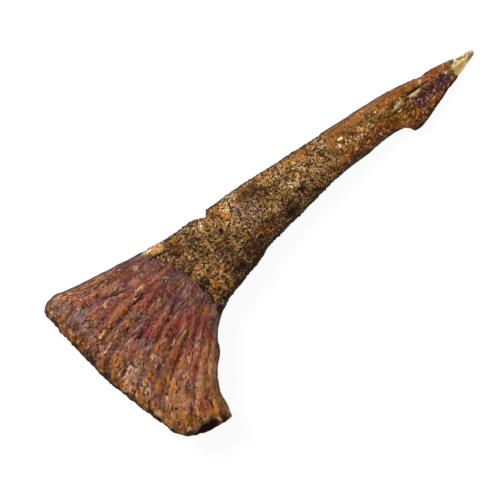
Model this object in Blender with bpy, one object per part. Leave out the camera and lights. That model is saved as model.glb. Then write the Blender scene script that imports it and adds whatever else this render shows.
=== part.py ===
"""Fossil sawfish rostral tooth, lying on its flat side.

One solid: a fan-shaped root with radiating ribs, a trough along its base and a worn underside, and a
flattened crown that tapers to a barbed point. +Z is up, +X runs from the root's base to the point, and
+Y towards the front edge, away from the barb. The origin is under the middle of the tooth, on the
surface that it lies on. Blender's units are metres; the shape is worked out in millimetres.
"""

import math

import bmesh
import bpy
import numpy as np
from mathutils import Vector, noise

MM = 0.001

# Plan outline in millimetres: x from the base edge towards the point, y across.
POINT_X = 64.0
FRONT_EDGE = [
    (0.3, 11.5), (1.0, 12.0), (2.0, 12.2), (3.1, 12.1), (4.1, 11.6), (8.2, 10.3), (12.4, 9.0), (14.7, 8.35),
    (18.0, 7.5), (22.0, 6.92), (25.0, 6.48), (29.0, 5.95), (33.2, 5.12), (41.5, 3.45), (49.8, 1.78), (53.0, 0.95),
    (55.6, 0.1), (57.0, -0.32), (57.7, -0.42), (60.2, -1.2), (62.3, -1.98), (63.5, -2.38), (63.85, -2.52),
    (POINT_X, -2.75),
]
REAR_ROOT_EDGE = [
    (8.5, -15.1), (9.1, -13.6), (9.6, -11.9), (10.4, -10.5), (11.4, -9.4), (13.2, -7.9), (14.4, -6.2), (16.6, -4.7),
]
REAR_SHAFT_EDGE = [
    (16.6, -4.7), (18.6, -4.05), (21.7, -3.6), (25.4, -3.08), (27.0, -2.7), (33.0, -2.58), (40.5, -2.45),
    (44.6, -2.9), (47.8, -3.12), (49.8, -3.52), (50.6, -3.9), (51.1, -4.5),
]
BARB_EDGE = [
    (51.2, -5.0), (52.2, -5.23), (53.2, -5.14), (58.0, -4.2), (62.2, -3.5), (63.4, -3.18), (63.85, -2.97),
    (POINT_X, -2.75),
]
FLANK = REAR_SHAFT_EDGE[:9] + BARB_EDGE[3:]  # the rear edge as it would run without the barb
BARB_FROM_SHARE = 0.72
BASE_EDGE = [
    (0.3, 11.5), (0.25, 10.8), (0.35, 9.6), (0.1, 8.0), (0.1, 4.0), (0.1, 0.0), (0.4, -3.0), (0.8, -6.0),
    (1.3, -9.0), (1.7, -11.4), (2.6, -13.0), (4.4, -14.2), (6.4, -14.8), (8.5, -15.1),
]

# Neck: the arc where the root meets the crown. It bows towards the point.
NECK_FRONT_X, NECK_REAR_X = 14.7, 16.6
NECK_BOW = 1.45
BOW_FADES_OVER = 0.25

# Cross-section against x in millimetres: half thickness, height of its middle, and squareness.
HALF_THICKNESS = [
    (0.0, 3.75), (3.0, 3.9), (9.0, 3.55), (15.5, 3.1), (20.0, 3.0), (26.0, 2.75), (33.0, 2.45), (42.0, 2.0),
    (50.0, 1.65), (56.0, 1.3), (60.5, 0.88), (62.8, 0.52), (63.7, 0.28), (POINT_X, 0.0),
]
MIDDLE_HEIGHT = [
    (0.0, 3.8), (3.0, 3.85), (9.0, 3.65), (15.5, 3.35), (20.0, 3.25), (26.0, 3.0), (33.0, 2.65), (42.0, 2.12),
    (50.0, 1.65), (56.0, 1.28), (60.5, 1.05), (POINT_X, 0.95),
]
SQUARENESS = [(0.0, 4.0), (8.0, 3.6), (16.0, 2.7), (30.0, 2.3), (POINT_X, 2.0)]
BLADE_THINNING = 0.5  # how much of its thickness the barbed edge loses
BLADE_FROM_X, BLADE_FULL_X = 46.0, 53.0

# Trough along the base. Near the foot its upper wall is broken back.
TROUGH_DEPTH = 3.2
TROUGH_HALF_WIDTH = 0.52  # share of the root's half thickness at the mouth
TROUGH_FROM, TROUGH_TO = 0.09, 0.95  # shares along the base edge
RIM_ROUND = 0.55
BROKEN_RIM = (0.79, 0.885, 0.92, 0.95)  # shares where the break starts, is full, is still full and ends
BROKEN_RIM_DEPTH = 1.3

# Relief in millimetres.
RIB_COUNT = 13
RIB_HEIGHT = 0.42
SCALLOP = 0.22
KNOB_AT, KNOB_RADIUS, KNOB_HEIGHT = (1.9, 10.9), 1.5, 0.45
NECK_STEP_DEPTH, NECK_STEP_WIDTH = 0.32, 0.45
LUMP_HEIGHT, LUMP_SIZE = 0.3, 3.2
SMALL_LUMP_HEIGHT, SMALL_LUMP_SIZE = 0.13, 1.3
CRUST_END_X, CRUST_FADE = 41.5, 3.5
NOTCH_FROM_X, NOTCH_X, NOTCH_TO_X, NOTCH_DEPTH = 22.4, 23.8, 24.6, 0.62
CREVICE_DEPTH, CREVICE_HALF_WIDTH = 0.22, 0.85
GROOVE_FROM, GROOVE_TO = (51.2, -0.35), (57.6, -1.2)
GROOVE_DEPTH, GROOVE_HALF_WIDTH = 0.28, 0.42
HOLLOW_AT, HOLLOW_LENGTH, HOLLOW_WIDTH, HOLLOW_DEPTH = (56.2, -2.4), 3.4, 1.1, 0.2

# Mesh.
COLUMNS = 88  # across one face
KEPT_SHARE = 0.155  # of the loft's triangles, after decimation
WORN_AWAY = 0.08  # how far below the surface the underside would have reached


def smooth_line(points, per_span=20):
    """A dense polyline on a smooth curve through the points (centripetal Catmull-Rom)."""
    ends = np.array(points, float)
    ends = np.vstack([2 * ends[0] - ends[1], ends, 2 * ends[-1] - ends[-2]])
    line = []
    for before, start, end, after in zip(ends, ends[1:], ends[2:], ends[3:]):
        gaps = [math.sqrt(math.dist(a, b)) for a, b in ((before, start), (start, end), (end, after))]
        knots = np.cumsum([0.0, *gaps])
        for t in np.linspace(knots[1], knots[2], per_span, endpoint=False):
            a1 = before + (start - before) * (t - knots[0]) / (knots[1] - knots[0])
            a2 = start + (end - start) * (t - knots[1]) / (knots[2] - knots[1])
            a3 = end + (after - end) * (t - knots[2]) / (knots[3] - knots[2])
            b1 = a1 + (a2 - a1) * (t - knots[0]) / (knots[2] - knots[0])
            b2 = a2 + (a3 - a2) * (t - knots[1]) / (knots[3] - knots[1])
            line.append(b1 + (b2 - b1) * (t - knots[1]) / (knots[2] - knots[1]))
    return np.array([*line, ends[-2]])


def even_line(line, count=400):
    """The polyline resampled at equal steps of its length."""
    steps = np.linalg.norm(np.diff(line, axis=0), axis=1)
    along = np.concatenate([[0.0], np.cumsum(steps)])
    places = np.linspace(0, along[-1], count)
    return np.column_stack([np.interp(places, along, line[:, k]) for k in range(line.shape[1])])


FRONT_LINE = smooth_line(FRONT_EDGE)
REAR_CROWN_LINE = np.vstack([smooth_line(REAR_SHAFT_EDGE), smooth_line(BARB_EDGE)])
FLANK_LINE = smooth_line(FLANK)
THICKNESS_LINE = smooth_line(HALF_THICKNESS)
MIDDLE_LINE = smooth_line(MIDDLE_HEIGHT)
BASE_EVEN = even_line(smooth_line(BASE_EDGE))
ROOT_REAR_EVEN = even_line(smooth_line(REAR_ROOT_EDGE))
ROOT_FRONT_EVEN = even_line(FRONT_LINE[FRONT_LINE[:, 0] <= NECK_FRONT_X + 0.01])


def at(line, share):
    """The point at this share, 0 to 1, of an evenly sampled line."""
    place = min(max(share, 0.0), 1.0) * (len(line) - 1)
    low = min(int(place), len(line) - 2)
    return line[low] + (line[low + 1] - line[low]) * (place - low)


def value(line, x):
    """The line's second column where its first is x."""
    return float(np.interp(x, line[:, 0], line[:, 1]))


def smoothstep(low, high, number):
    share = min(max((number - low) / (high - low), 0.0), 1.0)
    return share * share * (3 - 2 * share)


def bump(distance, radius):
    """1 at no distance, falling smoothly to 0 at the radius."""
    return 1 - smoothstep(0, radius, abs(distance))


def groove(spot, start, end, half_width):
    """1 along the middle of a groove from start to end, fading to its sides and its two ends."""
    start, end, spot = np.array(start), np.array(end), np.array(spot)
    along = np.dot(spot - start, end - start) / np.dot(end - start, end - start)
    ends = math.sin(math.pi * min(max(along, 0.0), 1.0)) ** 0.6
    return ends * bump(math.dist(spot, start + along * (end - start)), half_width)


def section(middle_x, width):
    """The columns round a rounded cross-section, from the front edge over the top and back underneath.

    Each is a share across from the front edge, a height from -1 to 1, and the share that evenly spread
    columns would have.
    """
    turns = np.linspace(0, math.pi, 1201)
    power = 2 / np.interp(middle_x, *np.transpose(SQUARENESS))
    across = np.sign(np.cos(turns)) * np.abs(np.cos(turns)) ** power
    half = np.abs(np.sin(turns)) ** power
    steps = np.hypot(np.diff(across) * width / 2, np.diff(half) * value(THICKNESS_LINE, middle_x))
    along = np.concatenate([[0.0], np.cumsum(steps)])
    spread = (np.arange(COLUMNS) + 0.5) / COLUMNS
    share = (1 - np.interp(spread * along[-1], along, across)) / 2
    height = np.interp(spread * along[-1], along, half)
    top = np.column_stack([share, height, spread])
    return np.vstack([top, (top * (1, -1, 1))[::-1]])


def lift(middle_x, height, relief):
    """The height above the surface of a point on the section that stands out by the relief."""
    return value(MIDDLE_LINE, middle_x) + height * (value(THICKNESS_LINE, middle_x) + relief)


def crown_point(run, share):
    """Plan position on the crown, run 0 at the neck to 1 at the point, share 0 at the front edge to 1 at the rear."""
    front_x = NECK_FRONT_X + (POINT_X - NECK_FRONT_X) * run
    rear_x = NECK_REAR_X + (POINT_X - NECK_REAR_X) * run
    front_y = value(FRONT_LINE, front_x)
    front_y -= float(np.interp(front_x, (NOTCH_FROM_X, NOTCH_X, NOTCH_TO_X), (0.0, NOTCH_DEPTH, 0.0)))
    flank_y = value(FLANK_LINE, rear_x)
    barb = value(REAR_CROWN_LINE, rear_x) - flank_y
    bow = NECK_BOW * 4 * share * (1 - share) * bump(run, BOW_FADES_OVER)
    y = front_y + (flank_y - front_y) * share + barb * smoothstep(BARB_FROM_SHARE, 1.0, share)
    return np.array([front_x + (rear_x - front_x) * share + bow, y])


def root_point(run, share):
    """Plan position on the root, run 0 at the base edge to 1 at the neck: a patch between its four edges."""
    along = (1 - run) * at(BASE_EVEN, share) + run * crown_point(0.0, share)
    across = (1 - share) * at(ROOT_FRONT_EVEN, run) + share * at(ROOT_REAR_EVEN, run)
    front_corners = (1 - run) * BASE_EVEN[0] + run * ROOT_FRONT_EVEN[-1]
    rear_corners = (1 - run) * BASE_EVEN[-1] + run * ROOT_REAR_EVEN[-1]
    return along + across - (1 - share) * front_corners - share * rear_corners


def outward_at_base(share):
    """Unit direction out of the base edge, in plan."""
    inward = root_point(0.1, share) - at(BASE_EVEN, share)
    return -inward / np.linalg.norm(inward)


def rim_break(share):
    """Millimetres that the upper wall of the trough is broken back from the base edge."""
    start, full, still_full, end = BROKEN_RIM
    return BROKEN_RIM_DEPTH * smoothstep(start, full, share) * (1 - smoothstep(still_full, end, share))


def rib(run, share, side):
    """Height, 0 to 1, of the root's ribs: round crests with narrow furrows between them."""
    wander = noise.noise(Vector((share * 5, run * 1.6, 3.0 * side)))
    phase = (share * RIB_COUNT + 0.4 * wander) % 1.0
    strength = 0.85 + 0.35 * noise.noise(Vector((share * 9, run * 2.2, 8.0 * side)))
    return strength * math.sin(math.pi * phase) ** 0.65


def root_relief(run, share, side):
    """Millimetres that the root's face stands out: ribs, uneven growth and the knob on its upper corner."""
    envelope = smoothstep(0.0, 0.05, min(share, 1 - share)) * (1 - smoothstep(0.72, 0.97, run))
    height = RIB_HEIGHT * envelope * (rib(run, share, side) - 0.6)
    spot = root_point(run, share)
    height += 0.25 * noise.noise(Vector((*spot / 5, 2.0 * side)))
    return height + KNOB_HEIGHT * bump(math.dist(spot, KNOB_AT), KNOB_RADIUS) * (side > 0)


def crown_relief(spot, share, side):
    """Millimetres that the crown's face stands out: crust, crevice, groove and pitted hollow."""
    x, y = spot
    crust = 1 - smoothstep(CRUST_END_X - CRUST_FADE, CRUST_END_X, x)
    place = Vector((x, y, 4.0 * side))
    height = LUMP_HEIGHT * (0.2 + 0.8 * crust) * noise.noise(place / LUMP_SIZE)
    height += SMALL_LUMP_HEIGHT * crust * noise.noise(place / SMALL_LUMP_SIZE)
    crevice_x = NOTCH_X - 1.1 * share + 0.4 * math.sin(9 * share)
    height -= CREVICE_DEPTH * bump(x - crevice_x, CREVICE_HALF_WIDTH)
    if side > 0:
        from_hollow = math.hypot((x - HOLLOW_AT[0]) / HOLLOW_LENGTH, (y - HOLLOW_AT[1]) / HOLLOW_WIDTH)
        height -= GROOVE_DEPTH * groove(spot, GROOVE_FROM, GROOVE_TO, GROOVE_HALF_WIDTH)
        height -= HOLLOW_DEPTH * bump(from_hollow, 1.0)
    return height


def trough_ring(depth):
    """Inside of the trough, depth 0 at the rim to 1 at the bottom, where the two walls meet."""
    opening = TROUGH_HALF_WIDTH * math.sqrt(1 - depth**2.5)
    ring = []
    for share, height, spread in section(0.0, 2 * BASE_EDGE[0][1]):
        share += (spread - share) * depth
        deepest = TROUGH_DEPTH * (1 - 0.6 * abs(2 * share - 1) ** 3)
        share = TROUGH_FROM + (TROUGH_TO - TROUGH_FROM) * share
        broken = rim_break(share) * (height > 0) * (1 - depth)
        x, y = at(BASE_EVEN, share) - outward_at_base(share) * (deepest * depth + broken)
        ring.append((x, y, lift(1.0, height * opening, 0.0)))
    return ring


def root_ring(run):
    """Outside of the root, drawn in at its rim where it rounds into the trough."""
    middle_x = run * (NECK_REAR_X + NECK_FRONT_X) / 2
    width = math.dist(at(ROOT_FRONT_EVEN, run), at(ROOT_REAR_EVEN, run))
    step = NECK_STEP_DEPTH * smoothstep(0.955, 1.0, run)
    ring = []
    for share, height, _ in section(middle_x, width):
        side = math.copysign(1.0, height)
        from_rim = run * math.dist(at(BASE_EVEN, share), crown_point(0.0, share))
        rounding = math.sqrt(1 - (1 - min(from_rim / RIM_ROUND, 1)) ** 2)
        scallop = SCALLOP * (rib(0.0, share, side) - 0.6) * abs(height) * bump(from_rim, 5.0)
        broken = rim_break(share) * (height > 0) * bump(from_rim, 3.0)
        x, y = root_point(run, share) + outward_at_base(share) * (scallop - broken)
        relief = root_relief(run, share, side) * min(from_rim / RIM_ROUND, 1.0) - step
        ring.append((x, y, lift(middle_x, height * (0.72 + 0.28 * rounding), relief)))
    return ring


def crown_ring(run):
    """Outside of the crown, from the furrow at the neck to the point."""
    middle_x = (NECK_FRONT_X + NECK_REAR_X) / 2 * (1 - run) + POINT_X * run
    width = math.dist(crown_point(run, 0.0), crown_point(run, 1.0))
    from_neck = (POINT_X - NECK_REAR_X) * run / NECK_STEP_WIDTH
    blade = BLADE_THINNING * smoothstep(BLADE_FROM_X, BLADE_FULL_X, middle_x)
    to_point = 1 - smoothstep(60.0, POINT_X, middle_x)
    ring = []
    for share, height, _ in section(middle_x, width):
        spot = crown_point(run, share)
        relief = crown_relief(spot, share, math.copysign(1.0, height)) * smoothstep(0.0, 2.0, from_neck)
        relief -= NECK_STEP_DEPTH * (1 - smoothstep(0.4, 2.0, from_neck))
        thinned = height * (1 - blade * smoothstep(0.35, 1.0, share))
        ring.append((*spot, lift(middle_x, thinned, relief * to_point)))
    return ring


def rings():
    """The loft's rings, from the bottom of the trough, over the rim and along to the point."""
    trough = [trough_ring(depth) for depth in (1.0, 0.97, 0.9, 0.78, 0.6, 0.4, 0.2, 0.08, 0.0)]
    root = [root_ring(run) for run in (0.0, 0.008, 0.018, 0.032, *np.linspace(0.05, 1.0, 30))]
    barb_run = (BARB_EDGE[0][0] - NECK_REAR_X) / (POINT_X - NECK_REAR_X)
    notch_run = (NOTCH_X - NECK_FRONT_X) / (POINT_X - NECK_FRONT_X)
    runs = [*np.linspace(0.01, 1.0, 100), 0.993, 0.996, 0.998, 0.999]
    runs += [barb_run + 0.002 * step for step in range(-8, 8)]
    runs += [notch_run + 0.004 * step for step in range(-6, 5)]
    return trough + root + [crown_ring(run) for run in np.unique(np.round(runs, 3))]


def loft():
    """The tooth as one closed mesh: a grid wrapped round the rings and welded at its seam and ends."""
    stations = rings()
    mesh = bmesh.new()
    bmesh.ops.create_grid(mesh, x_segments=len(stations) - 1, y_segments=2 * COLUMNS, size=1.0)
    for vertex in mesh.verts:
        row = round((vertex.co.x + 1) / 2 * (len(stations) - 1))
        column = round((vertex.co.y + 1) * COLUMNS) % (2 * COLUMNS)
        vertex.co = Vector(stations[row][column]) * MM
    bmesh.ops.remove_doubles(mesh, verts=mesh.verts, dist=0.004 * MM)
    bmesh.ops.recalc_face_normals(mesh, faces=mesh.faces)
    return mesh


def centre_over_origin(mesh):
    """Moves the mesh so that its box is centred in plan, and its underside dips below the surface."""
    corners = np.array([vertex.co for vertex in mesh.verts])
    middle = (corners.min(axis=0) + corners.max(axis=0)) / 2
    bmesh.ops.translate(mesh, verts=mesh.verts, vec=(-middle[0], -middle[1], -WORN_AWAY * MM))


def fossil_material():
    """Iron-stained fossil dentine and enamel, matt with a slight polish."""
    material = bpy.data.materials.new("fossil_tooth")
    material.use_nodes = True
    shader = material.node_tree.nodes["Principled BSDF"]
    shader.inputs["Base Color"].default_value = (0.16, 0.075, 0.035, 1.0)
    shader.inputs["Roughness"].default_value = 0.6
    shader.inputs["Metallic"].default_value = 0.0
    return material


def build_tooth(collection):
    mesh = loft()
    centre_over_origin(mesh)
    data = bpy.data.meshes.new("rostral_tooth")
    mesh.to_mesh(data)
    mesh.free()
    data.materials.append(fossil_material())
    data.shade_smooth()
    tooth = bpy.data.objects.new("rostral_tooth", data)
    collection.objects.link(tooth)
    fewer = tooth.modifiers.new("fewer faces", "DECIMATE")
    fewer.ratio = KEPT_SHARE
    return tooth


def wear_underside_flat(tooth, cutters):
    """Cuts away what reaches below the surface, which leaves the flats that the tooth rests on."""
    bpy.ops.mesh.primitive_cube_add(size=1.0, location=(0.0, 0.0, -0.005), scale=(0.1, 0.1, 0.01))
    cutter = bpy.context.active_object
    cutter.name = "below_surface"
    cutter.hide_render = True
    cutter.display_type = "WIRE"
    cutter.users_collection[0].objects.unlink(cutter)
    cutters.objects.link(cutter)
    worn = tooth.modifiers.new("worn flat", "BOOLEAN")
    worn.operation = "DIFFERENCE"
    worn.solver = "EXACT"
    worn.object = cutter


def main():
    for old in list(bpy.data.objects):
        bpy.data.objects.remove(old)
    tooth_parts = bpy.data.collections.new("fossil_sawfish_tooth")
    cutters = bpy.data.collections.new("cutters")
    for collection in (tooth_parts, cutters):
        bpy.context.scene.collection.children.link(collection)
    tooth = build_tooth(tooth_parts)
    wear_underside_flat(tooth, cutters)


main()
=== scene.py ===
"""Fossil sawfish rostral tooth: its fine surface, the sand cemented to its crown, its finish and a studio.

Objects are in metres in the part's own frame, +Z up. Shapes are worked out in millimetres on the tooth's own
axes: x from the base edge of the root (0) to the point (64), y across with the barb on the minus side, and z
up from the table.
"""

import itertools
import math

import bmesh
import bpy
import numpy as np
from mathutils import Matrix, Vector
from mathutils.kdtree import KDTree


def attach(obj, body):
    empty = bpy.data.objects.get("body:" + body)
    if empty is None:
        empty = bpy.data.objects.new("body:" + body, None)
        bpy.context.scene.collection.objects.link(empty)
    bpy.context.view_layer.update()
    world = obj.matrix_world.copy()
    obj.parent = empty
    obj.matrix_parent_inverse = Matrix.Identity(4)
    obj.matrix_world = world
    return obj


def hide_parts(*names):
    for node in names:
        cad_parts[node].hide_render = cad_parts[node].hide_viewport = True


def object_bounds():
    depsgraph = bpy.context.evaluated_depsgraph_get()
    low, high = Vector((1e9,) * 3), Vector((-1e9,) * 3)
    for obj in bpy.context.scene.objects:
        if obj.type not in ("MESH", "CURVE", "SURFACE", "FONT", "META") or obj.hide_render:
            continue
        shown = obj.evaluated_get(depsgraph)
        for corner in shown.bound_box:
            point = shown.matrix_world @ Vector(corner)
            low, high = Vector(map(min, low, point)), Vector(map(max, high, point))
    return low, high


MM = 0.001
BODY = "rostral_tooth"
BASE_EDGE_X, AXIS_Y = 32.0, -1.45  # added to the part's x and y in millimetres
FACE_SIZE = 0.164  # of the rebuilt surface
CLEARANCE = 0.002  # that the surface keeps inside the solid's box

# Outline of the tooth, and the arc where its root meets its crown.
FRONT_EDGE = [(0.3, 11.5), (2.0, 12.2), (4.1, 11.6), (8.2, 10.3), (14.7, 8.35), (24.0, 6.6), (33.2, 5.1),
              (49.8, 1.8), (57.6, -0.4), (64.0, -2.7)]
REAR_EDGE = [(8.5, -15.1), (9.6, -11.9), (11.4, -9.4), (14.4, -6.2), (16.6, -4.7), (21.7, -3.6), (27.0, -2.7),
             (40.5, -2.45), (49.8, -3.5), (51.2, -5.0), (53.2, -5.15), (64.0, -2.8)]
BASE_EDGE = [(0.3, 11.5), (0.1, 4.0), (0.4, -3.0), (1.7, -11.4), (4.4, -14.2), (8.5, -15.1)]
NECK_ARC = [(14.7, 8.35), (16.3, 5.1), (17.1, 1.8), (17.25, -1.5), (16.6, -4.7)]
ROOT_WIDTH, ROOT_LENGTH, CROWN_LENGTH = 27, 16, 47
CRUST_END_X = 41.8
IVORY_FROM_X = 60.1

# Cuts in the upper side: the ends of each slit, half its width and its depth, and each pit's centre, radius
# and depth.
SLITS = [
    ((8.9, 4.25), (10.8, 4.0), 0.28, 0.16),
    ((7.2, 7.35), (9.9, 6.2), 0.28, 0.14),
    ((11.2, -0.45), (14.6, -0.25), 0.16, 0.18),
    ((8.6, -3.3), (12.2, -2.7), 0.2, 0.22),
    ((5.2, 1.45), (7.0, 1.35), 0.25, 0.26),
    ((6.9, -0.8), (7.6, -1.0), 0.4, 0.26),
    ((4.0, -9.2), (4.3, -9.9), 0.18, 0.35),
    ((53.1, -0.7), (56.9, -1.4), 0.22, 0.26),
    ((57.2, -0.55), (58.0, -0.5), 0.15, 0.2),
    ((50.4, -1.5), (52.6, -1.7), 0.12, 0.12),
    ((46.0, -1.0), (48.4, -1.2), 0.12, 0.12),
    ((60.9, -1.9), (62.6, -2.5), 0.12, 0.1),
]
PITS = [
    ((24.4, 3.4), 0.34, 0.4), ((23.1, 4.2), 0.26, 0.3), ((17.8, 0.2), 0.3, 0.3), ((22.6, -0.9), 0.3, 0.3),
    ((1.3, 11.2), 0.3, 0.35), ((2.1, 10.6), 0.25, 0.3), ((35.3, -0.1), 0.35, 0.3), ((32.4, -1.3), 0.35, 0.3),
    ((58.1, -2.9), 0.2, 0.25), ((56.9, -2.6), 0.3, 0.3), ((51.9, -3.9), 0.2, 0.2),
]

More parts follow.
